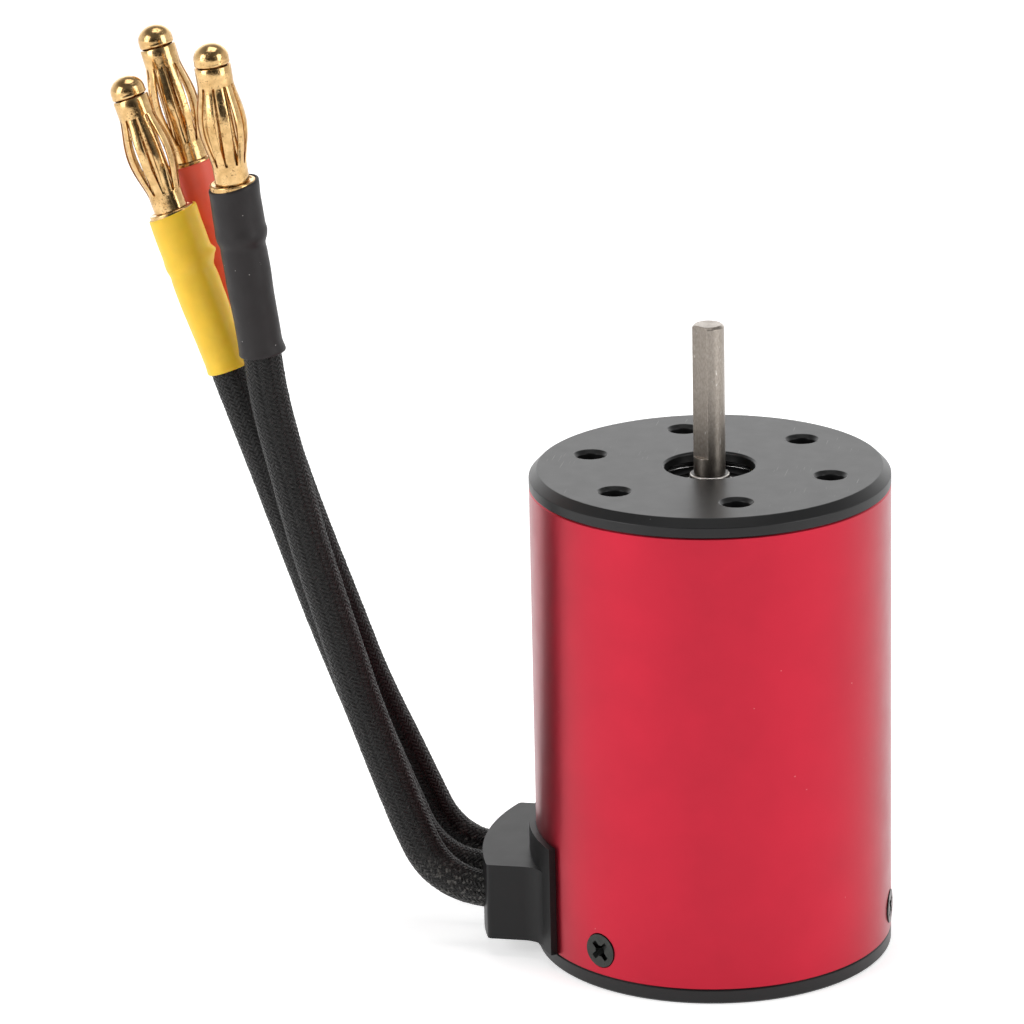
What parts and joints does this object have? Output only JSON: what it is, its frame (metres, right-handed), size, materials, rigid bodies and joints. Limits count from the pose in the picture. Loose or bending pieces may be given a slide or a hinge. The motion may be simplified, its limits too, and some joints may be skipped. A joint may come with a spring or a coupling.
{
  "type": "brushless inrunner motor",
  "caption": "Sealed cylindrical brushless motor with a front shaft, a tapped front mounting face, a side cable boot and braided leads ending in bullet connectors.",
  "frame": {"origin": "centre of the front mounting face, on the shaft axis", "axes": "+Z out along the shaft; -X towards the cable boot and leads; the body reaches down to Z = -50.3 mm"},
  "size_m": [0.078, 0.036, 0.0934],
  "materials": {
    "red_anodised": "fine bead-blasted red anodised aluminium",
    "black_anodised": "satin black anodised aluminium",
    "black_oxide": "black oxide screw steel",
    "boot_plastic": "matt moulded black nylon",
    "lamination_steel": "stacked electrical steel",
    "insulator_plastic": "moulded insulator",
    "liner_paper": "slot liner film",
    "copper_wire": "enamelled copper",
    "lead_jacket": "silicone wire jacket",
    "bearing_steel": "polished bearing steel",
    "seal_rubber": "rubber-faced bearing shields",
    "cage_brass": "pressed cage",
    "shaft_steel": "ground steel",
    "magnet_coating": "nickel-plated magnets",
    "sleeve_fibre": "wound fibre sleeve",
    "brass": "turned brass",
    "braided_sleeve": "tight braided nylon sleeve",
    "shrink_black": "matt heat-shrink",
    "shrink_yellow": "satin heat-shrink",
    "shrink_red": "satin heat-shrink",
    "gold_plate": "gold-plated copper alloy"
  },
  "bodies": {
    "housing": {"can": "red_anodised", "front_plate": "black_anodised", "rear_cap": "black_anodised", "rear_cap_screws": "black_oxide", "cable_boot": "boot_plastic", "stator_core": "lamination_steel", "stator_insulator_front": "insulator_plastic", "stator_insulator_rear": "insulator_plastic", "slot_liners": "liner_paper", "winding_phase_a": "copper_wire", "winding_phase_b": "copper_wire", "winding_phase_c": "copper_wire", "lead_tails": "lead_jacket", "preload_washer": "bearing_steel", "lead_cores": "copper_wire", "front_bearing_outer_ring": "bearing_steel", "front_bearing_shields": "seal_rubber", "rear_bearing_outer_ring": "bearing_steel", "rear_bearing_shields": "seal_rubber", "lead_black": "braided_sleeve", "shrink_black": "shrink_black", "bullet_pin_black": "gold_plate", "bullet_spring_black": "gold_plate", "lead_yellow": "braided_sleeve", "shrink_yellow": "shrink_yellow", "bullet_pin_yellow": "gold_plate", "bullet_spring_yellow": "gold_plate", "lead_red": "braided_sleeve", "shrink_red": "shrink_red", "bullet_pin_red": "gold_plate", "bullet_spring_red": "gold_plate"},
    "rotor": {"shaft": "shaft_steel", "rotor_core": "lamination_steel", "rotor_magnets": "magnet_coating", "rotor_sleeve": "sleeve_fibre", "balance_ring_front": "brass", "balance_ring_rear": "brass", "spacer_front": "bearing_steel", "spacer_rear": "bearing_steel", "front_bearing_inner_ring": "bearing_steel", "rear_bearing_inner_ring": "bearing_steel"},
    "front_ball_set": {"front_bearing_balls": "bearing_steel", "front_bearing_cage": "cage_brass"},
    "rear_ball_set": {"rear_bearing_balls": "bearing_steel", "rear_bearing_cage": "cage_brass"}
  },
  "joints": [
    {"name": "rotor_spin", "type": "hinge", "parent": "housing", "child": "rotor", "pos_m": [0, 0, 0], "axis": [0, 0, 1], "continuous": true},
    {"name": "front_ball_set_spin", "type": "hinge", "parent": "housing", "child": "front_ball_set", "pos_m": [0, 0, -0.00375], "axis": [0, 0, 1], "continuous": true},
    {"name": "rear_ball_set_spin", "type": "hinge", "parent": "housing", "child": "rear_ball_set", "pos_m": [0, 0, -0.0466], "axis": [0, 0, 1], "continuous": true}
  ],
  "couplings": [
    {"joint": "front_ball_set_spin", "follows": "rotor_spin", "ratio": 0.3889},
    {"joint": "rear_ball_set_spin", "follows": "rotor_spin", "ratio": 0.3889}
  ]
}
